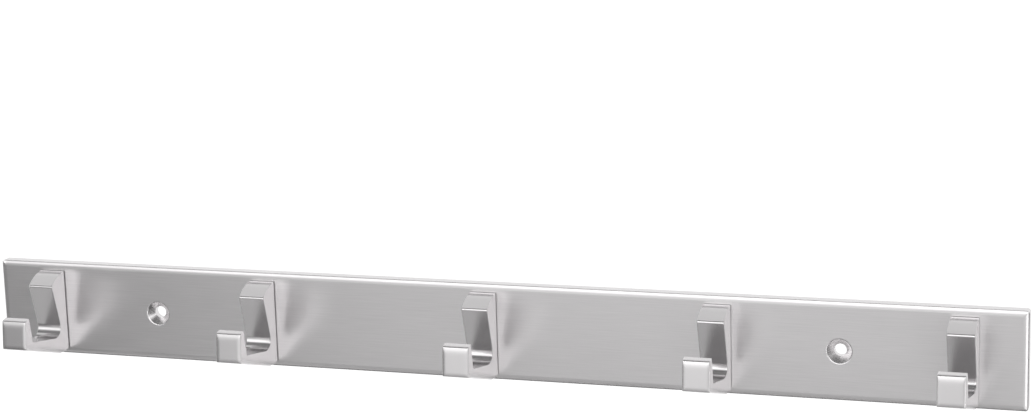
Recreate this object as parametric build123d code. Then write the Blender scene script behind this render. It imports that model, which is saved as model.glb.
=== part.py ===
from build123d import *
from math import asin, atan2, cos, degrees, dist, radians, sin, sqrt, tan
import os

# Wall hook rack: a flat steel bar with crowned front edges carries a row of cast hooks.
# Two countersunk machine screws hold each hook from behind, and two countersunk holes in
# the bar, between the outer hooks, take the wall screws.
# Frame, in mm: X along the bar, Y into the wall, Z up. The origin is the middle of the
# bar's back face, which lies on the wall.

# Row of hooks along the bar
HOOK_COUNT = 5
HOOK_PITCH = 100.0
END_MARGIN = 25.0                # from the outer hooks' middle to the bar's end

# Bar section
BAR_THICKNESS = 5.5
MARGIN_ABOVE_HOOK = 3.5
MARGIN_BELOW_HOOK = 2.1
BAR_CORNER_RADIUS = 1.2          # corners of the outline seen from the front
BAR_CROWN_WIDTH = 2.3            # rolled strip along the front edges
BAR_CROWN_DEPTH = 0.7
BAR_BACK_CHAMFER = 0.3

# Wall screw holes, each midway between the two outer hooks at its end
WALL_HOLE_DIAMETER = 5.1
WALL_SINK_DIAMETER = 10.4
WALL_SINK_MOUTH_RADIUS = 0.8     # where the cone rounds over into the bar's front
SINK_ANGLE = 90.0

# Hook outline, seen from the side: reach is out from the bar, height is above the hook's foot
HOOK_WIDTH = 11.3
HOOK_HEIGHT = 35.4
TOP_RADIUS = 20.0                # back of the hook's head, level where it meets the bar
NOSE_REACH = 12.4
NOSE_RADIUS = 0.6
THROAT_WALL = 6.7                # from the bar to the throat's deepest point
THROAT_RADIUS = 3.0
FLOOR_RISE = 10.5                # arm's upper side, up from level
LIP_FOOT_REACH = 31.9
LIP_FOOT_HEIGHT = 11.5
LIP_FOOT_RADIUS = 1.0
LIP_DEPTH = 11.4
LIP_TOP_THICKNESS = 3.6
LIP_TOP_RADIUS = 0.5
LIP_FRONT_LEAN = 5.0             # lip's front face, back from upright
LIP_CROWN_WIDTH = 1.5            # rolled strip round the lip's front face
LIP_CROWN_DEPTH = 0.45
HEEL_REACH = 8.0                 # end of the flat foot, where the underside starts to rise
HEEL_RADIUS = 6.0
UNDERSIDE_RISE = 17.6
FOOT_RADIUS = 2.0                # foot's corner at the bar

# Machine screws that hold a hook
SCREW_DIAMETER = 4.0
SCREW_HEAD_DIAMETER = 8.0
SCREW_HEAD_RIM = 0.3
SCREW_TIP_CHAMFER = 0.4
SCREW_END_DISTANCE = 6.5         # from the hook's ends to the screws
SCREW_ENGAGEMENT = 4.7           # thread inside the hook
SCREW_SUNK = 0.2                 # head's top below the bar's back face
SCREW_BODY_CLEARANCE = 0.25      # round the shank in the bar
SCREW_FIT_CLEARANCE = 0.05       # round the thread, and under the head's cone
TAP_RUNOUT = 1.0                 # tapped hole past the screw's tip
DRILL_POINT_ANGLE = 118.0

# Worked out from the sizes above
BAR_LENGTH = (HOOK_COUNT - 1) * HOOK_PITCH + 2 * END_MARGIN
BAR_HEIGHT = HOOK_HEIGHT + MARGIN_ABOVE_HOOK + MARGIN_BELOW_HOOK
HOOK_FOOT_Z = MARGIN_BELOW_HOOK - BAR_HEIGHT / 2
HOOK_PLACES = [(number - (HOOK_COUNT - 1) / 2) * HOOK_PITCH for number in range(HOOK_COUNT)]
WALL_HOLE_SPAN = (HOOK_COUNT - 2) * HOOK_PITCH
SCREW_HEIGHTS = {
    "upper": HOOK_FOOT_Z + HOOK_HEIGHT - SCREW_END_DISTANCE,
    "lower": HOOK_FOOT_Z + SCREW_END_DISTANCE,
}
SCREW_LENGTH = BAR_THICKNESS - SCREW_SUNK + SCREW_ENGAGEMENT
SINK_SLOPE = tan(radians(SINK_ANGLE / 2))
TAP_RADIUS = SCREW_DIAMETER / 2 + SCREW_FIT_CLEARANCE
TAP_DEPTH = SCREW_ENGAGEMENT + TAP_RUNOUT


def along(point, angle, distance):
    """Point at a distance from another one, in the direction of an angle in degrees."""
    return (point[0] + distance * cos(radians(angle)), point[1] + distance * sin(radians(angle)))


def crossing(first, first_angle, second, second_angle):
    """Point where two lines meet, each given by a point and an angle in degrees."""
    gap = (second[0] - first[0], second[1] - first[1])
    reach = gap[0] * sin(radians(second_angle)) - gap[1] * cos(radians(second_angle))
    return along(first, first_angle, reach / sin(radians(second_angle - first_angle)))


def crowned_outline(span, depth, crown_width, crown_depth):
    """Section from a flat back at 0 to a front at depth, whose two corners are rolled off."""
    half = span / 2
    back = Polyline((-half, depth - crown_depth), (-half, 0), (half, 0), (half, depth - crown_depth))
    front = Line((half - crown_width, depth), (crown_width - half, depth))
    right = TangentArc(front @ 0, back @ 1, tangent=(1, 0))
    left = TangentArc(front @ 1, back @ 0, tangent=(-1, 0))
    return make_face(back + right + front + left)


def countersunk_hole(radius, sink_radius, depth):
    """Cutter for a hole that starts at the plane z = 0, goes down, and widens to its mouth."""
    sink_depth = (sink_radius - radius) / SINK_SLOPE
    half_section = Polyline(
        (0, 0), (sink_radius, 0), (radius, -sink_depth), (radius, -depth), (0, -depth), (0, 0)
    )
    return revolve(Plane.XZ * make_face(half_section), Axis.Z)


def back_plate():
    """Bar: rolled along all four front edges, with round corners, and all its holes."""
    crown = (BAR_THICKNESS, BAR_CROWN_WIDTH, BAR_CROWN_DEPTH)
    lengthwise = Plane((0, 0, 0), x_dir=(0, 0, 1), z_dir=(1, 0, 0)) * crowned_outline(BAR_HEIGHT, *crown)
    upright = Plane((0, 0, 0), x_dir=(-1, 0, 0), z_dir=(0, 0, 1)) * crowned_outline(BAR_LENGTH, *crown)
    bar = extrude(lengthwise, BAR_LENGTH / 2, both=True)
    bar &= extrude(upright, BAR_HEIGHT / 2, both=True)
    bar = fillet(bar.edges().filter_by(Axis.Y), BAR_CORNER_RADIUS)
    bar = chamfer(bar.faces().sort_by(Axis.Y)[-1].edges(), BAR_BACK_CHAMFER)

    wall_hole = countersunk_hole(WALL_HOLE_DIAMETER / 2, WALL_SINK_DIAMETER / 2, BAR_THICKNESS)
    for x in (-WALL_HOLE_SPAN / 2, WALL_HOLE_SPAN / 2):
        bar -= Plane((x, -BAR_THICKNESS, 0), z_dir=(0, -1, 0)) * wall_hole
    mouths = bar.faces().sort_by(Axis.Y)[0].inner_wires().edges()
    bar = bar.fillet(WALL_SINK_MOUTH_RADIUS, mouths)

    sink_radius = SCREW_HEAD_DIAMETER / 2 + SCREW_FIT_CLEARANCE + (SCREW_HEAD_RIM + SCREW_SUNK) * SINK_SLOPE
    screw_hole = countersunk_hole(SCREW_DIAMETER / 2 + SCREW_BODY_CLEARANCE, sink_radius, BAR_THICKNESS)
    for x in HOOK_PLACES:
        for z in SCREW_HEIGHTS.values():
            bar -= Plane((x, 0, z), z_dir=(0, 1, 0)) * screw_hole
    return bar


def hook_profile():
    """Side of a hook as a face in (reach, height), and the top corner of its lip's front."""
    head_back = (0, HOOK_HEIGHT)
    nose = (NOSE_REACH, HOOK_HEIGHT - TOP_RADIUS + sqrt(TOP_RADIUS**2 - NOSE_REACH**2))
    lip_foot = (LIP_FOOT_REACH, LIP_FOOT_HEIGHT)

    # The throat is a round that rests on the arm's floor, and its back face runs from the
    # nose down to touch that round.
    round_reach = THROAT_WALL + THROAT_RADIUS
    below_round = crossing((round_reach, 0), 90, lip_foot, FLOOR_RISE)
    round_middle = along(below_round, 90, THROAT_RADIUS / cos(radians(FLOOR_RISE)))
    sight = degrees(atan2(round_middle[1] - nose[1], round_middle[0] - nose[0]))
    back_face = sight - degrees(asin(THROAT_RADIUS / dist(nose, round_middle)))
    throat = crossing(nose, back_face, lip_foot, FLOOR_RISE)

    lip_back = along(lip_foot, 90 - FLOOR_RISE, LIP_DEPTH)
    lip_front = along(lip_back, -FLOOR_RISE, LIP_TOP_THICKNESS)
    heel = (HEEL_REACH, 0)
    foot = (0, 0)

    # The lip's front face stands on a leaning line, and its two ends roll back from it.
    lean = 90 + LIP_FRONT_LEAN
    lip_toe = crossing(lip_front, lean, heel, UNDERSIDE_RISE)
    set_back = along(lip_front, lean + 90, LIP_CROWN_DEPTH)
    rolled_top = crossing(set_back, lean, lip_back, -FLOOR_RISE)
    rolled_toe = crossing(set_back, lean, heel, UNDERSIDE_RISE)
    front_line = Line(along(lip_front, lean, -LIP_CROWN_WIDTH), along(lip_toe, lean, LIP_CROWN_WIDTH))
    down = front_line % 0

    head = RadiusArc(head_back, nose, TOP_RADIUS)
    inside = Polyline(nose, throat, lip_foot, lip_back, rolled_top)
    top_roll = TangentArc(front_line @ 0, rolled_top, tangent=-down)
    toe_roll = TangentArc(front_line @ 1, rolled_toe, tangent=down)
    outside = Polyline(rolled_toe, heel, foot, head_back)
    side = make_face(head + inside + top_roll + front_line + toe_roll + outside)
    for corner, radius in (
        (nose, NOSE_RADIUS),
        (throat, THROAT_RADIUS),
        (lip_foot, LIP_FOOT_RADIUS),
        (lip_back, LIP_TOP_RADIUS),
        (heel, HEEL_RADIUS),
        (foot, FOOT_RADIUS),
    ):
        side = fillet(side.vertices().sort_by_distance(corner)[0], radius)
    return side, lip_front


def hook():
    """Hook at the middle of the bar: its side carried across its width, its lip rolled all round."""
    seat = Plane((0, -BAR_THICKNESS, HOOK_FOOT_Z), x_dir=(0, -1, 0), z_dir=(-1, 0, 0))
    side, lip_front = hook_profile()
    body = extrude(seat * side, HOOK_WIDTH / 2, both=True)

    # Across its width the lip has the same roll: a section carried along the leaning front.
    reach = max(corner.X for corner in side.vertices()) * 2
    up = (0, sin(radians(LIP_FRONT_LEAN)), cos(radians(LIP_FRONT_LEAN)))
    front = Plane(seat.from_local_coords(lip_front), x_dir=(-1, 0, 0), z_dir=up)
    section = crowned_outline(HOOK_WIDTH, reach, LIP_CROWN_WIDTH, LIP_CROWN_DEPTH)
    body &= extrude(front * Pos(0, -reach) * section, HOOK_HEIGHT * 2, both=True)

    point_depth = TAP_RADIUS / tan(radians(DRILL_POINT_ANGLE / 2))
    half_section = Polyline(
        (0, 0), (TAP_RADIUS, 0), (TAP_RADIUS, -TAP_DEPTH), (0, -TAP_DEPTH - point_depth), (0, 0)
    )
    tapped_hole = revolve(Plane.XZ * make_face(half_section), Axis.Z)
    for z in SCREW_HEIGHTS.values():
        body -= Plane((0, -BAR_THICKNESS, z), z_dir=(0, 1, 0)) * tapped_hole
    return body


def hook_screw():
    """Countersunk machine screw, with its head's top at z = 0 and its tip below."""
    head = SCREW_HEAD_DIAMETER / 2
    shank = SCREW_DIAMETER / 2
    cone_end = SCREW_HEAD_RIM + (head - shank) / SINK_SLOPE
    tip = shank - SCREW_TIP_CHAMFER
    half_section = Polyline(
        (0, 0), (head, 0), (head, -SCREW_HEAD_RIM), (shank, -cone_end),
        (shank, SCREW_TIP_CHAMFER - SCREW_LENGTH), (tip, -SCREW_LENGTH), (0, -SCREW_LENGTH), (0, 0)
    )
    return revolve(Plane.XZ * make_face(half_section), Axis.Z)


os.makedirs("parts", exist_ok=True)
export_step(back_plate(), "parts/back_plate.step")

middle_hook = hook()
screw = hook_screw()
for number, x in enumerate(HOOK_PLACES, start=1):
    export_step(Pos(x, 0, 0) * middle_hook, f"parts/hook_{number}.step")
    for level, z in SCREW_HEIGHTS.items():
        placed_screw = Plane((x, -SCREW_SUNK, z), z_dir=(0, 1, 0)) * screw
        export_step(placed_screw, f"parts/hook_{number}_{level}_screw.step")
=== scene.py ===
import math

import bpy
import numpy as np
from mathutils import Matrix, Vector


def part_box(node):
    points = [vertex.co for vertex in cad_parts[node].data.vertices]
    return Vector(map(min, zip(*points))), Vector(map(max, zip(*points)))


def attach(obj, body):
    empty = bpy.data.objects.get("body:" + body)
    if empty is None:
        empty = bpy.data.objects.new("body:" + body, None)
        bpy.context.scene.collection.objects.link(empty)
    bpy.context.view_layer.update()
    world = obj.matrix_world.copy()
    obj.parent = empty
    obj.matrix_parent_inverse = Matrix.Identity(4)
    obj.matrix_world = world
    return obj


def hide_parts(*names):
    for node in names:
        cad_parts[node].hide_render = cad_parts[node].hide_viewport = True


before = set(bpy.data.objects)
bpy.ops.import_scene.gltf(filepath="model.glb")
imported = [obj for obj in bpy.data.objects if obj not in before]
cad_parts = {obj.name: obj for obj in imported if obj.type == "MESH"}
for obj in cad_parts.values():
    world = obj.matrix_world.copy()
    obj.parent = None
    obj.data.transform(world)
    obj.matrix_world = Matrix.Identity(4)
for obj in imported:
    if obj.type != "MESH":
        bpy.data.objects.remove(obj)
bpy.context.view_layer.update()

# Wall hook rack: a satin steel bar, a row of cast hooks and the screws that hold them from behind.
# Sizes are in millimetres, and MM turns them into the frame's metres.
MM = 0.001

# Places read from the frame
hook_nodes = sorted(
    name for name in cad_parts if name.startswith("hook_") and name.count("_") == 1
)
screw_nodes = sorted(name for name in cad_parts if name.endswith("_screw"))
bar_low, bar_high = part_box("back_plate")
hook_low, hook_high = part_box(hook_nodes[0])
screw_low, screw_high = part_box(screw_nodes[0])
HOOK_WIDTH = (hook_high.x - hook_low.x) / MM
HOOK_HEIGHT = (hook_high.z - hook_low.z) / MM
SCREW_LENGTH = (screw_high.y - screw_low.y) / MM
SCREW_HEAD_RADIUS = (screw_high.x - screw_low.x) / MM / 2

# Hook outline, seen from the side: reach is out from the bar, height is above the hook's foot
TOP_RADIUS = 20.0
NOSE_REACH = 12.4
NOSE_RADIUS = 1.1
THROAT_WALL = 6.7
THROAT_RADIUS = 4.3
FLOOR_RISE = math.radians(10.5)
LIP_FOOT_REACH = 31.9
LIP_FOOT_HEIGHT = 11.5
LIP_FOOT_RADIUS = 1.0
LIP_DEPTH = 11.4
LIP_TOP_THICKNESS = 3.6
LIP_TOP_RADIUS = 0.5
LIP_FRONT_LEAN = math.radians(5.0)
LIP_TOP_CROWN = 4.2             # stretch before the top edge over which the lip's front falls away
LIP_TOP_FALL = 0.34
LIP_EDGE_CROWN = 2.2            # the same at its sides and toe
LIP_EDGE_FALL = 0.22
LIP_TIP_RADIUS = 1.15
LIP_TOE_RADIUS = 0.5
HEEL_REACH = 8.0
HEEL_RADIUS = 6.0
UNDERSIDE_RISE = math.radians(17.6)
FOOT_RADIUS = 2.0
SOLE_UNDER_BACK_FACE = 0.6      # stretch of the sole that the throat's back face points down to
SIDE_EDGE_RADIUS = 0.35         # polished round of the hook's side edges
BACK_EDGE_RADIUS = 0.55         # round of the edges that meet the bar

# Steps along the hook's inner outline, from the bar over the head to the lip's tip
BACK_EDGE_STEPS = 8
HEAD_STEPS = 24
NOSE_STEPS = 8
BACK_FACE_STEPS = 4
THROAT_STEPS = 24
FLOOR_STEPS = 6
LIP_FOOT_STEPS = 10
LIP_BACK_STEPS = 8
LIP_TOP_ROUND_STEPS = 8
LIP_TOP_STEPS = 6
LIP_TIP_STEPS = 8

# Steps along its outer outline, which has so many at the foot that the side's rungs don't cross
FOOT_STEPS = 38
SOLE_UNDER_BACK_FACE_STEPS = 6
SOLE_STEPS = 10
HEEL_STEPS = 14
UNDERSIDE_STEPS = 4
LIP_TOE_STEPS = 6
LIP_EDGE_CROWN_STEPS = 8
LIP_TOP_CROWN_STEPS = 20

# Steps across half its width
FLAT_STEPS = 2
SIDE_CROWN_STEPS = 10
SIDE_EDGE_STEPS = 8

# Painted shade at the joint of a hook with the bar: the hook's colour darkens there as shade in the
# crevice
PAINTED_SHADE_REACH = 1.1               # how far from the bar the hook begins to darken
# share of the hook's colour that is left in the painted shade right at the bar
PAINTED_JOINT_SHADE = 0.3

# Bar
BAR_CROWN_WIDTH = 2.3           # rolled front edges
BAR_CROWN_EASE = 0.23           # how much later their fall starts than an arc's
WALL_HOLE_FROM_MIDDLE = 150.0
WALL_SINK_RADIUS = 5.2
WALL_SINK_BLEND = 0.1           # half the stretch over which the finish changes at a sink's edge

# Countersunk socket screws
SCREW_RADIUS = 2.0
SCREW_HEAD_RIM = 0.3
SCREW_RIM_ROUND = 0.08
SCREW_TIP_CHAMFER = 0.4
SCREW_SIDES = 72
THREAD_PITCH = 0.7
THREAD_DEPTH = 0.38
THREAD_RINGS = 8                # in each pitch
SOCKET_ACROSS_FLATS = 2.5
SOCKET_DEPTH = 1.6
SOCKET_POINT_DEPTH = 0.45
SOCKET_MOUTH_CHAMFER = 0.12

# Grain of the ground steel: fine streaks, and broad clouds that are longer along the bar
STREAK_DETAIL = 5.0
STREAK_BREAK_UP = 0.62
STREAK_HEIGHT = 0.02
CLOUDS_PER_METRE = (9.0, 60.0, 60.0)
CLOUD_DETAIL = 3.0
CLOUD_BREAK_UP = 0.5
CLOUD_TONE = 0.03               # share by which clouds lighten or darken the steel
USUAL_NOISE = (0.3, 0.7)        # range that nearly all the noise lies in

# Camera: how the bar is turned, tilted and rolled before it, and where its front's middle lies
PHOTO_WIDTH_PX = 1033
FOCAL_LENGTH_PX = 2517.4
SENSOR_WIDTH = 36.0
CAMERA_TURN = math.radians(17.84)
CAMERA_TILT = math.radians(12.54)
CAMERA_ROLL = math.radians(-1.70)
BAR_BEFORE_CAMERA = Vector((-13.5, 52.4, 1054.8))      # right, down and ahead

# Floor, in metres
FLOOR_DROP = 0.9
FLOOR_HALF_SIZE = 12.0

SHARP_ANGLE = math.radians(32)
WHITE = (1, 1, 1, 1)


def direction(angle):
    """Unit vector (cos, sin) of an angle."""
    return np.array([math.cos(angle), math.sin(angle)])


def crossing(first, first_angle, second, second_angle):
    """Point where two lines meet, each given by a point and the angle that it runs at."""
    gap = second - first
    run = gap[0] * math.sin(second_angle) - gap[1] * math.cos(second_angle)
    return first + direction(first_angle) * run / math.sin(second_angle - first_angle)


def straight(start, end, steps):
    """Points at even steps from start to end, with the end left out."""
    share = np.linspace(0, 1, steps, endpoint=False)[:, None]
    return start * (1 - share) + end * share


def arc(start, tangent, side, radius, turn, steps):
    """Points start + radius * (sin a * tangent + (1 - cos a) * side) for a from 0 to the turn."""
    angle = np.linspace(0, turn, steps + 1)[:, None]
    return start + radius * (np.sin(angle) * tangent + (1 - np.cos(angle)) * side)


def bend(before, corner, after, radius, steps):
    """Round of a corner: the arc that touches both legs, radius * tan(turn / 2) from the corner."""
    into = (corner - before) / np.linalg.norm(corner - before)
    out = (after - corner) / np.linalg.norm(after - corner)
    turn = math.atan2(into[0] * out[1] - into[1] * out[0], into @ out)
    side = math.copysign(1, turn) * np.array([-into[1], into[0]])
    start = corner - into * radius * math.tan(abs(turn) / 2)
    return arc(start, into, side, radius, abs(turn), steps)


def crown(start, tangent, end, steps):
    """Curve start + s * run * tangent + s^3 * fall for s from 0 to 1: it leaves start along the
    tangent and falls away to end. Also gives its direction at the end, run * tangent + 3 * fall."""
    share = np.linspace(0, 1, steps + 1)[:, None]
    run = (end - start) @ tangent
    fall = end - start - run * tangent
    return start + share * run * tangent + share**3 * fall, run * tangent + 3 * fall


def rounded_path(points, radii, bend_steps, run_steps):
    """Straight runs between points whose inner corners are rounded, without the last point."""
    stretches = []
    start = points[0]
    for index, radius in enumerate(radii):
        corner = bend(*points[index:index + 3], radius, bend_steps[index])
        stretches += [straight(start, corner[0], run_steps[index]), corner[:-1]]
        start = corner[-1]
    return np.concatenate(stretches + [straight(start, points[-1], run_steps[-1])])


def hook_outline():
    """Side of a hook as two chains of (reach, height) that start at the bar and end short of the
    tip, the lip's top front edge. The inner one runs over the head, the throat and the arm's floor,
    the outer one round the foot, along the underside and up the lip's front. Both have as many
    points, so straight rungs from chain to chain fill the side. Also gives the tip, and the point
    at the top of the lip's front before its edges fall away."""
    head_back = np.array([0.0, HOOK_HEIGHT])
    head_middle = np.array([0.0, HOOK_HEIGHT - TOP_RADIUS])
    nose_turn = math.asin(NOSE_REACH / TOP_RADIUS)
    nose = head_middle + TOP_RADIUS * direction(math.pi / 2 - nose_turn)
    before_nose = nose - direction(-nose_turn)
    lip_foot = np.array([LIP_FOOT_REACH, LIP_FOOT_HEIGHT])

    # The throat's round rests on the floor, and its back face runs from the nose to touch it.
    round_foot = np.array([THROAT_WALL + THROAT_RADIUS, 0.0])
    round_middle = crossing(round_foot, math.pi / 2, lip_foot, FLOOR_RISE)
    round_middle = round_middle + np.array([0.0, THROAT_RADIUS / math.cos(FLOOR_RISE)])
    sight = round_middle - nose
    sight_angle = math.atan2(sight[1], sight[0])
    back_face = sight_angle - math.asin(THROAT_RADIUS / np.linalg.norm(sight))
    throat = crossing(nose, back_face, lip_foot, FLOOR_RISE)

    lip_back = lip_foot + LIP_DEPTH * direction(math.pi / 2 - FLOOR_RISE)
    lip_front = lip_back + LIP_TOP_THICKNESS * direction(-FLOOR_RISE)
    foot = np.zeros(2)
    heel = np.array([HEEL_REACH, 0.0])
    lean = math.pi / 2 + LIP_FRONT_LEAN
    up = direction(lean)
    behind = direction(lean + math.pi / 2)
    top_edge = crossing(lip_front + LIP_TOP_FALL * behind, lean, lip_back, -FLOOR_RISE)
    toe_edge = crossing(lip_front + LIP_EDGE_FALL * behind, lean, heel, UNDERSIDE_RISE)
    front_top = lip_front - LIP_TOP_CROWN * up
    front_toe = crossing(lip_front, lean, heel, UNDERSIDE_RISE) + LIP_EDGE_CROWN * up
    top_crown, top_slope = crown(front_top, up, top_edge, LIP_TOP_CROWN_STEPS)
    toe_crown, toe_slope = crown(front_toe, -up, toe_edge, LIP_EDGE_CROWN_STEPS)

    level = head_back + direction(0)
    back_round = bend(foot, head_back, level, BACK_EDGE_RADIUS, BACK_EDGE_STEPS)
    nose_round = bend(before_nose, nose, throat, NOSE_RADIUS, NOSE_STEPS)
    head_start = math.asin(BACK_EDGE_RADIUS / TOP_RADIUS)
    head_end = math.asin(nose_round[0][0] / TOP_RADIUS)
    head_turn = np.linspace(head_start, head_end, HEAD_STEPS, endpoint=False)
    head = head_middle + TOP_RADIUS * np.stack([np.sin(head_turn), np.cos(head_turn)], 1)
    tip_round = bend(lip_back, top_edge, top_edge - top_slope, LIP_TIP_RADIUS, LIP_TIP_STEPS)
    tip = tip_round[-1]
    nose_to_tip = rounded_path(
        [before_nose, nose, throat, lip_foot, lip_back, tip_round[0]],
        [NOSE_RADIUS, THROAT_RADIUS, LIP_FOOT_RADIUS, LIP_TOP_RADIUS],
        bend_steps=[NOSE_STEPS, THROAT_STEPS, LIP_FOOT_STEPS, LIP_TOP_ROUND_STEPS],
        run_steps=[0, BACK_FACE_STEPS, FLOOR_STEPS, LIP_BACK_STEPS, LIP_TOP_STEPS],
    )
    inner = np.concatenate([back_round[:-1], head, nose_to_tip, tip_round[:-1]])

    foot_round = bend(head_back, foot, heel, FOOT_RADIUS, FOOT_STEPS)
    heel_round = bend(foot, heel, toe_edge, HEEL_RADIUS, HEEL_STEPS)
    under_back_face = foot_round[-1] + np.array([SOLE_UNDER_BACK_FACE, 0.0])
    toe_round = bend(heel, toe_edge, toe_edge - toe_slope, LIP_TOE_RADIUS, LIP_TOE_STEPS)
    underside = np.concatenate([
        foot_round[:-1], straight(foot_round[-1], under_back_face, SOLE_UNDER_BACK_FACE_STEPS),
        straight(under_back_face, heel_round[0], SOLE_STEPS), heel_round[:-1],
        straight(heel_round[-1], toe_round[0], UNDERSIDE_STEPS), toe_round,
    ])
    toe_front = toe_crown[(toe_crown - toe_round[-1]) @ up > 0][::-1]
    top_front = top_crown[(tip - top_crown) @ up > 0]
    front_steps = len(inner) - len(underside) - len(toe_front) - len(top_front) + 1
    flat_front = straight(front_toe, front_top, front_steps)[1:]
    outer = np.concatenate([underside, toe_front, flat_front, top_front])
    return inner, outer, tip, lip_front


def side_round(stations, half, radius):
    """Round of a side's edge: r - sqrt(r^2 - t^2), with t counted from where the round starts."""
    past = np.clip(np.abs(stations) - half + radius, 0, radius)
    return radius - np.sqrt(radius**2 - past**2)


def hook_surface():
    """Hook about its own middle, in mm, as vertices and faces. Its outline is carried across the
    width in stations x, and near a side it shrinks by the round of the side edges. Reach r grows
    there to sqrt(r^2 + round^2), which rounds the edges at the bar. The lip's front falls back from
    d to sqrt(d^2 + drop^2), with d the depth behind the front and drop the cube of the way to the
    side, so its crowned edges flow into each other. Rungs between both chains close the sides."""
    inner, outer, tip, lip_front = hook_outline()
    loop = np.concatenate([inner, [tip], outer[::-1]])
    count, half = len(loop), HOOK_WIDTH / 2

    ahead = np.roll(loop, -1, 0) - loop
    ahead /= np.linalg.norm(ahead, axis=1, keepdims=True)
    inward_after = np.stack([ahead[:, 1], -ahead[:, 0]], 1)
    inward_before = np.roll(inward_after, 1, 0)
    mitre = 1 + (inward_after * inward_before).sum(1, keepdims=True)
    inward = (inward_after + inward_before) / mitre

    edge_start = half - SIDE_EDGE_RADIUS
    crown_start = half - LIP_EDGE_CROWN
    edge_turn = np.linspace(0, math.pi / 2, SIDE_EDGE_STEPS)
    right = np.concatenate([
        np.linspace(0, crown_start, FLAT_STEPS, endpoint=False),
        np.linspace(crown_start, edge_start, SIDE_CROWN_STEPS, endpoint=False),
        edge_start + SIDE_EDGE_RADIUS * np.sin(edge_turn),
    ])
    stations = np.concatenate([-right[:0:-1], right])
    inset = side_round(stations, half, SIDE_EDGE_RADIUS)
    back_drop = side_round(stations, half, BACK_EDGE_RADIUS)
    to_side = np.clip((np.abs(stations) - crown_start) / LIP_EDGE_CROWN, 0, 1)
    drop = LIP_EDGE_FALL * to_side**3

    section = loop[:, None] + inset[None, :, None] * inward[:, None]
    section[..., 0] = np.hypot(section[..., 0], back_drop)
    out = direction(LIP_FRONT_LEAN)
    depth = (lip_front - section) @ out
    section = section - (np.hypot(depth, drop) - depth)[..., None] * out
    across = np.broadcast_to(stations, section.shape[:2])
    vertices = np.stack([across, -section[..., 0], section[..., 1]], -1).reshape(-1, 3)

    number = np.arange(vertices.shape[0]).reshape(count, -1)
    after = np.roll(number, -1, 0)
    skin = np.stack([number[:, :-1], after[:, :-1], after[:, 1:], number[:, 1:]], -1)
    chain = number[:len(inner) + 1]
    other = np.concatenate([number[:len(inner):-1], number[len(inner):len(inner) + 1]])
    rungs = np.stack([chain[:-1], chain[1:], other[1:], other[:-1]], -1)
    sides = np.concatenate([rungs[:-1, -1], rungs[:-1, 0, ::-1]])
    tips = np.stack([rungs[-1, -1, [0, 1, 3]], rungs[-1, 0, [3, 1, 0]]])
    return vertices, skin.reshape(-1, 4).tolist() + sides.tolist() + tips.tolist()


def screw_surface():
    """Screw about its axis, in mm, with its head's top at y = 0 and its tip at -y: rings of radius
    r(angle) at a depth. The socket's rings follow a hexagon, r = flat / cos(angle to its nearest
    flat's middle). The thread's rings swing between crest and root with depth / pitch - angle /
    full turn, a triangle wave that fades out at the thread's two ends."""
    turn = np.linspace(0, 2 * math.pi, SCREW_SIDES, endpoint=False)
    from_flat = (turn + math.pi / 6) % (math.pi / 3) - math.pi / 6
    hexagon = SOCKET_ACROSS_FLATS / 2 / np.cos(from_flat)
    mouth = SOCKET_ACROSS_FLATS / math.sqrt(3) + SOCKET_MOUTH_CHAMFER / 2
    cone_end = SCREW_HEAD_RIM + SCREW_HEAD_RADIUS - SCREW_RADIUS
    thread_end = SCREW_LENGTH - SCREW_TIP_CHAMFER
    head_rings = [
        (SOCKET_DEPTH, hexagon), (SOCKET_MOUTH_CHAMFER, hexagon), (0, mouth),
        (0, SCREW_HEAD_RADIUS - SCREW_RIM_ROUND), (SCREW_RIM_ROUND, SCREW_HEAD_RADIUS),
        (SCREW_HEAD_RIM, SCREW_HEAD_RADIUS), (cone_end, SCREW_RADIUS),
    ]
    thread_depth = np.arange(cone_end, thread_end, THREAD_PITCH / THREAD_RINGS)[1:]
    wave = thread_depth[:, None] / THREAD_PITCH - turn / (2 * math.pi)
    wave = np.abs(2 * (wave % 1) - 1)
    from_ends = np.minimum(thread_depth - cone_end, thread_end - thread_depth)
    fade = np.clip(from_ends / THREAD_PITCH, 0, 1)[:, None]
    tip = SCREW_RADIUS - SCREW_TIP_CHAMFER
    depth = np.concatenate([[ring[0] for ring in head_rings], thread_depth, [SCREW_LENGTH]])
    radius = np.concatenate([
        [np.broadcast_to(ring[1], turn.shape) for ring in head_rings],
        SCREW_RADIUS - THREAD_DEPTH * wave * fade, [np.full(turn.shape, tip)],
    ])
    down = np.broadcast_to(-depth[:, None], radius.shape)
    rings = np.stack([radius * np.cos(turn), down, radius * np.sin(turn)], -1)
    poles = np.array([[0, -SOCKET_DEPTH - SOCKET_POINT_DEPTH, 0], [0, -SCREW_LENGTH, 0]])
    vertices = np.concatenate([rings.reshape(-1, 3), poles])
    number = np.arange(radius.size).reshape(radius.shape)
    beside = np.roll(number, -1, 1)
    skin = np.stack([number[:-1], number[1:], beside[1:], beside[:-1]], -1).reshape(-1, 4)
    bottom = np.stack([np.full(turn.shape, radius.size), number[0], beside[0]], -1)
    end = np.stack([number[-1], np.full(turn.shape, radius.size + 1), beside[-1]], -1)
    return vertices, skin.tolist() + bottom.tolist() + end.tolist()


def new_object(name, data):
    """Object of the scene that shows a mesh, lamp or camera."""
    thing = bpy.data.objects.new(name, data)
    bpy.context.scene.collection.objects.link(thing)
    return thing


def add_piece(name, vertices, faces, material, node):
    """Piece with its place in its mesh, smooth but for sharp creases, in place of a CAD node."""
    mesh = bpy.data.meshes.new(name)
    mesh.from_pydata((vertices * MM).tolist(), [], faces)
    mesh.polygons.foreach_set("use_smooth", np.ones(len(mesh.polygons), bool))
    mesh.set_sharp_from_angle(angle=SHARP_ANGLE)
    mesh.materials.append(material)
    mesh.update()
    piece = new_object(name, mesh)
    shading = piece.modifiers.new("even_shading", "WEIGHTED_NORMAL")
    shading.keep_sharp = True
    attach(piece, "root")
    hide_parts(node)


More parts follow.
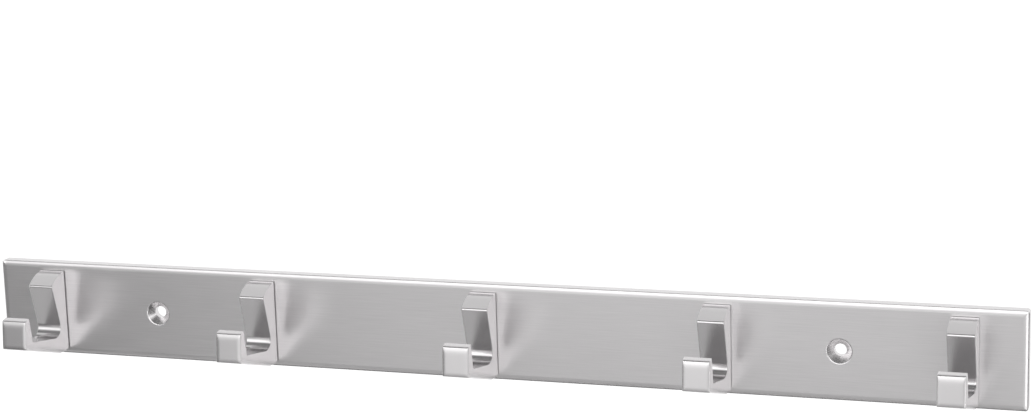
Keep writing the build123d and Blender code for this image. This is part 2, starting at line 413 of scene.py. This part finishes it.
class Nodes:
    """Node tree of a material or the world, which starts empty."""

    def __init__(self, owner):
        owner.use_nodes = True
        self.tree = owner.node_tree
        self.tree.nodes.clear()

    def add(self, kind, settings=None, **inputs):
        """Node with its settings and inputs. An input takes a value, or the socket that is linked
        to it, and goes by its name, with _ for a blank, or by _ and its number."""
        node = self.tree.nodes.new("ShaderNode" + kind)
        for name, value in (settings or {}).items():
            setattr(node, name, value)
        for name, value in inputs.items():
            by_number = name[1:].isdigit()
            socket = node.inputs[int(name[1:]) if by_number else name.replace("_", " ")]
            if isinstance(value, bpy.types.NodeSocket):
                self.tree.links.new(value, socket)
            else:
                socket.default_value = value
        return node

    def math(self, operation, first, second=0.0):
        """Result of an operation on one or two numbers."""
        return self.add("Math", {"operation": operation}, _0=first, _1=second).outputs[0]

    def mix(self, share, first, second):
        """Colour that turns from the first to the second as the share grows from 0 to 1."""
        return self.add("Mix", {"data_type": "RGBA"}, _0=share, _6=first, _7=second).outputs[2]

    def carry(self, value, source, target=(0.0, 1.0), way="LINEAR"):
        """Value carried over from its source range to a target range."""
        return self.add("MapRange", {"interpolation_type": way}, Value=value,
                        From_Min=source[0], From_Max=source[1],
                        To_Min=target[0], To_Max=target[1]).outputs[0]


def new_material(name):
    """Material and its empty node tree."""
    material = bpy.data.materials.new(name)
    return material, Nodes(material)


def noise(nodes, place, scale, detail, break_up):
    """Noise from 0 to 1 with its own scale along each axis."""
    stretched = nodes.add("Mapping", Vector=place, Scale=scale).outputs["Vector"]
    return nodes.add("TexNoise", Vector=stretched, Scale=1.0,
                     Detail=detail, Roughness=break_up).outputs["Fac"]


def ground_grain(nodes, place, grain):
    """Fine streaks along the grain, and broad faint clouds, both from 0 to 1."""
    streaks = noise(nodes, place, grain, STREAK_DETAIL, STREAK_BREAK_UP)
    clouds = noise(nodes, place, CLOUDS_PER_METRE, CLOUD_DETAIL, CLOUD_BREAK_UP)
    return streaks, clouds


def shaded(colour, share):
    """Colour with an alpha of 1, scaled by a share."""
    return (*(share * c for c in colour), 1)


def steel_finish(nodes, colour, streaks, clouds, roughness, normal, streak_tone=0.0, joint=None):
    """Metal whose tone follows the clouds and the streaks, whose roughness follows the streaks, and
    whose colour is darkened with painted shade where a joint is near."""
    tone = nodes.mix(clouds, shaded(colour, 1 - CLOUD_TONE), shaded(colour, 1 + CLOUD_TONE))
    streak = nodes.carry(streaks, USUAL_NOISE, (1 - streak_tone, 1 + streak_tone))
    tone = nodes.add("VectorMath", {"operation": "SCALE"}, _0=tone, Scale=streak).outputs[0]
    # Painted shade: the colour darkens towards the joint with the bar, where shade falls
    if joint is not None:
        tone = nodes.mix(joint, tone, shaded(colour, PAINTED_JOINT_SHADE))
    rough = nodes.carry(streaks, USUAL_NOISE, roughness)
    steel = nodes.add("BsdfPrincipled", Base_Color=tone, Metallic=1.0,
                      Roughness=rough, Normal=normal)
    return steel.outputs[0]


def satin_steel(name, colour, roughness, grain, grain_bump, streak_tone, shade_painted_at_joint=False):
    """Ground steel: streaks along the grain set the roughness and a shallow bump. With painted
    shade at the joint, its colour darkens over the last stretch before the bar's front, into the
    fine joint."""
    material, nodes = new_material(name)
    place = nodes.add("TexCoord").outputs["Object"]
    streaks, clouds = ground_grain(nodes, place, grain)
    bump = nodes.add("Bump", Height=streaks, Strength=grain_bump,
                     Distance=STREAK_HEIGHT * MM).outputs[0]
    joint = None
    # Painted shade mask, from 0 to 1 over the last stretch before the bar's front
    if shade_painted_at_joint:
        depth = nodes.add("SeparateXYZ", Vector=place).outputs["Y"]
        joint = nodes.carry(depth, (bar_low.y - PAINTED_SHADE_REACH * MM, bar_low.y), way="SMOOTHSTEP")
    steel = steel_finish(nodes, colour, streaks, clouds, roughness, bump, streak_tone, joint)
    nodes.add("OutputMaterial", Surface=steel)
    return material


def bar_finish(name, colour, roughness, sink_roughness, grain, grain_bump, streak_tone):
    """Ground steel with eased edges and smooth sinks. A smooth step of height over each rolled edge
    lets its fall start gently. Where sqrt((|x| - hole)^2 + z^2) is within a sink, the cut is
    smooth."""
    material, nodes = new_material(name)
    place = nodes.add("TexCoord").outputs["Object"]
    streaks, clouds = ground_grain(nodes, place, grain)
    axes = nodes.add("SeparateXYZ", Vector=place).outputs
    sides = [nodes.math("ABSOLUTE", axes[axis]) for axis in ("X", "Z")]
    eases = [
        nodes.carry(side, (half - BAR_CROWN_WIDTH * MM, half), (0.0, BAR_CROWN_EASE * MM),
                    way="SMOOTHSTEP")
        for side, half in zip(sides, (bar_high.x, bar_high.z))
    ]
    ease = nodes.math("ADD", *eases)
    eased = nodes.add("Bump", Height=ease, Strength=1.0, Distance=1.0).outputs[0]
    bump = nodes.add("Bump", Height=streaks, Strength=grain_bump,
                     Distance=STREAK_HEIGHT * MM, Normal=eased).outputs[0]
    ground = steel_finish(nodes, colour, streaks, clouds, roughness, bump, streak_tone)
    unbumped = nodes.add("NewGeometry").outputs["Normal"]
    cut = steel_finish(nodes, colour, streaks, clouds, sink_roughness, unbumped)
    from_hole = nodes.math("SUBTRACT", sides[0], WALL_HOLE_FROM_MIDDLE * MM)
    from_axis = nodes.add("CombineXYZ", X=from_hole, Z=axes["Z"]).outputs[0]
    radius = nodes.add("VectorMath", {"operation": "LENGTH"}, _0=from_axis).outputs["Value"]
    outside = nodes.carry(radius, ((WALL_SINK_RADIUS - WALL_SINK_BLEND) * MM,
                                   (WALL_SINK_RADIUS + WALL_SINK_BLEND) * MM))
    both = nodes.add("MixShader", _0=outside, _1=cut, _2=ground)
    nodes.add("OutputMaterial", Surface=both.outputs[0])
    return material


def studio_seen(nodes):
    """1 for the rays that show the backdrop, 0 for those that only light the rack."""
    path = nodes.add("LightPath").outputs
    seen = nodes.math("MAXIMUM", path["Is Camera Ray"], path["Is Glossy Ray"])
    return nodes.math("MAXIMUM", seen, path["Is Transmission Ray"])


def white_world(ambient):
    """White where it is seen, and a softer grey where it only lights the rack."""
    world = bpy.data.worlds.new("studio")
    bpy.context.scene.world = world
    nodes = Nodes(world)
    strength = nodes.carry(studio_seen(nodes), (0.0, 1.0), (ambient, 1.0))
    light = nodes.add("Background", Color=WHITE, Strength=strength)
    nodes.add("OutputWorld", Surface=light.outputs[0])


def flat_panel(name, middle, right, up, material):
    """Flat stage panel, from its middle and the vectors to its right and upper edges."""
    signs = ((-1, -1), (1, -1), (1, 1), (-1, 1))
    mesh = bpy.data.meshes.new(name)
    mesh.from_pydata([middle + a * right + b * up for a, b in signs], [], [[0, 1, 2, 3]])
    mesh.uv_layers.new(name="from_middle").data.foreach_set("uv", np.ravel(signs).tolist())
    mesh.materials.append(material)
    panel = new_object(name, mesh)
    return panel


def floor_paint(name, tone, glow):
    """Matt paint that also glows a little where it is seen, so that it meets the white backdrop."""
    material, nodes = new_material(name)
    strength = nodes.carry(studio_seen(nodes), (0.0, 1.0), (0.0, glow))
    matt = nodes.add("BsdfDiffuse", Color=shaded(WHITE[:3], tone))
    light = nodes.add("Emission", Color=WHITE, Strength=strength)
    both = nodes.add("AddShader", _0=matt.outputs[0], _1=light.outputs[0])
    nodes.add("OutputMaterial", Surface=both.outputs[0])
    return material


def card_paint(name, tone):
    """Even grey of a studio card as the metal sees it."""
    material, nodes = new_material(name)
    light = nodes.add("Emission", Color=WHITE, Strength=tone)
    nodes.add("OutputMaterial", Surface=light.outputs[0])
    return material


def glow_paint(name, brightness):
    """Light added to what lies behind it: brightness * ((1 - u^2) * (1 - v^2))^2, with u and v
    counted from the panel's middle to its edges."""
    material, nodes = new_material(name)
    spread = nodes.add("TexCoord").outputs["UV"]
    squares = nodes.add("VectorMath", {"operation": "MULTIPLY"}, _0=spread, _1=spread).outputs[0]
    left = nodes.add("VectorMath", {"operation": "SUBTRACT"}, _0=WHITE[:3], _1=squares).outputs[0]
    sides = nodes.add("SeparateXYZ", Vector=left).outputs
    fade = nodes.math("MULTIPLY", sides["X"], sides["Y"])
    fade = nodes.math("MULTIPLY", fade, fade)
    light = nodes.add("Emission", Color=fade, Strength=brightness)
    both = nodes.add("AddShader", _0=nodes.add("BsdfTransparent").outputs[0], _1=light.outputs[0])
    nodes.add("OutputMaterial", Surface=both.outputs[0])
    return material


def facing(azimuth, elevation, distance):
    """Place at a distance from the rack, and the right and up directions of what faces it from
    there. Azimuth is to the right of straight ahead of the rack, elevation above the horizon, in
    degrees. Distances and sizes in the studio are in metres."""
    turn, rise = math.radians(azimuth), math.radians(elevation)
    out = Vector((
        math.sin(turn) * math.cos(rise), -math.cos(turn) * math.cos(rise), math.sin(rise),
    ))
    right = Vector((math.cos(turn), math.sin(turn), 0))
    return out * distance, right, out.cross(right)


def softbox(name, azimuth, elevation, distance, width, height, brightness):
    """Area lamp that faces the rack and isn't seen itself. Its power is brightness * pi * area."""
    lamp = bpy.data.lights.new(name, "AREA")
    lamp.shape = "RECTANGLE"
    lamp.size, lamp.size_y = width, height
    lamp.energy = brightness * math.pi * width * height
    holder = new_object(name, lamp)
    place, right, up = facing(azimuth, elevation, distance)
    turned = Matrix((right, up, right.cross(up))).transposed().to_4x4()
    holder.matrix_world = Matrix.Translation(place) @ turned
    holder.visible_camera = False


def studio_card(name, place, right, up, paint):
    """Panel that only the metal's reflections see."""
    card = flat_panel(name, place, right, up, paint)
    card.visible_camera = False
    card.visible_diffuse = False
    card.visible_shadow = False


def standing_card(name, azimuth, elevation, distance, width, height, tone):
    """Grey card that faces the rack from a direction."""
    place, right, up = facing(azimuth, elevation, distance)
    paint = card_paint(name + "_paint", tone)
    studio_card(name, place, right * width / 2, up * height / 2, paint)


def glow(name, azimuth, elevation, distance, width, height, brightness):
    """Soft light that faces the rack from a direction and fades out to its edges."""
    place, right, up = facing(azimuth, elevation, distance)
    paint = glow_paint(name + "_paint", brightness)
    studio_card(name, place, right * width / 2, up * height / 2, paint)


def photo_camera():
    """Camera whose right, down and ahead axes are the rows of roll * tilt * turn, applied to the
    part's X, -Z and Y."""
    spin = (Matrix.Rotation(CAMERA_ROLL, 3, "Z") @ Matrix.Rotation(CAMERA_TILT, 3, "X")
            @ Matrix.Rotation(CAMERA_TURN, 3, "Y"))
    rows = spin @ Matrix(((1, 0, 0), (0, 0, -1), (0, 1, 0)))
    front_middle = Vector((0, bar_low.y, (bar_low.z + bar_high.z) / 2))
    place = front_middle - rows.transposed() @ BAR_BEFORE_CAMERA * MM
    data = bpy.data.cameras.new("camera")
    data.sensor_fit = "HORIZONTAL"
    data.sensor_width = SENSOR_WIDTH
    data.lens = FOCAL_LENGTH_PX / PHOTO_WIDTH_PX * SENSOR_WIDTH
    camera = new_object("camera", data)
    axes = Matrix((rows[0], -rows[1], -rows[2])).transposed().to_4x4()
    camera.matrix_world = Matrix.Translation(place) @ axes
    bpy.context.scene.camera = camera


# Finishes
bar_steel = bar_finish(
    "bar_satin_steel", colour=(0.758, 0.743, 0.749), roughness=(0.28, 0.35),
    sink_roughness=(0.25, 0.31), grain=(50.0, 2000.0, 2000.0), grain_bump=0.06, streak_tone=0.04,
)
# The hooks' steel has painted shade that darkens it next to the bar
hook_steel = satin_steel(
    "hook_satin_steel", colour=(0.738, 0.723, 0.729), roughness=(0.23, 0.27),
    grain=(2600.0, 45.0, 45.0), grain_bump=0.02, streak_tone=0.01, shade_painted_at_joint=True,
)
screw_zinc = satin_steel(
    "screw_bright_zinc", colour=(0.77, 0.76, 0.73), roughness=(0.19, 0.25),
    grain=(900.0, 900.0, 900.0), grain_bump=0.10, streak_tone=0.01,
)

# Pieces: the bar is the CAD mesh itself
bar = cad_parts["back_plate"]
bar.data.materials.clear()
bar.data.materials.append(bar_steel)

hook_vertices, hook_faces = hook_surface()
for node in hook_nodes:
    low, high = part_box(node)
    seat = np.array([(low.x + high.x) / 2, high.y, low.z]) / MM
    add_piece(node + "_cast", hook_vertices + seat, hook_faces, hook_steel, node)

screw_vertices, screw_faces = screw_surface()
for node in screw_nodes:
    low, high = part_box(node)
    seat = np.array([(low.x + high.x) / 2, high.y, (low.z + high.z) / 2]) / MM
    add_piece(node + "_socket", screw_vertices + seat, screw_faces, screw_zinc, node)

# Studio
bpy.context.scene.view_settings.view_transform = "Standard"
white_world(ambient=0.7)
floor = flat_panel(
    "floor", middle=Vector((0, 0, bar_low.z - FLOOR_DROP)), right=Vector((FLOOR_HALF_SIZE, 0, 0)),
    up=Vector((0, FLOOR_HALF_SIZE, 0)), material=floor_paint("floor_paint", tone=0.82, glow=0.55),
)
floor.visible_glossy = False
softbox("front_softbox", azimuth=7, elevation=24, distance=1.6,
        width=2.4, height=0.7, brightness=0.17)
glow("high_card", azimuth=7.5, elevation=24, distance=1.65,
     width=7.0, height=1.62, brightness=1.91)
glow("core_card", azimuth=-13.5, elevation=1, distance=1.7,
     width=2.5, height=1.87, brightness=0.542)
glow("low_card", azimuth=31, elevation=-17.5, distance=1.6,
     width=0.76, height=1.43, brightness=2.88)
standing_card("front_card", azimuth=1.5, elevation=-23, distance=2.2,
              width=2.34, height=2.56, tone=0.424)
standing_card("foot_card", azimuth=-27, elevation=-42, distance=2.4,
              width=1.7, height=1.2, tone=0.576)
standing_card("under_card", azimuth=0, elevation=-73, distance=1.8,
              width=6.0, height=0.95, tone=0.068)
standing_card("top_card", azimuth=10, elevation=71, distance=1.9,
              width=6.5, height=1.0, tone=0.22)
standing_card("left_card", azimuth=-59, elevation=7.5, distance=3.0,
              width=2.36, height=6.43, tone=0.246)
standing_card("right_card", azimuth=68, elevation=1, distance=3.0,
              width=2.53, height=6.5, tone=0.254)
standing_card("room_card", azimuth=0, elevation=11, distance=3.6,
              width=10.7, height=8.3, tone=0.025)
studio_card("ceiling_card", place=Vector((0, 0.72, 1.5)), right=Vector((3, 0, 0)),
            up=Vector((0, 0.78, 0)), paint=card_paint("ceiling_card_paint", tone=0.75))
photo_camera()
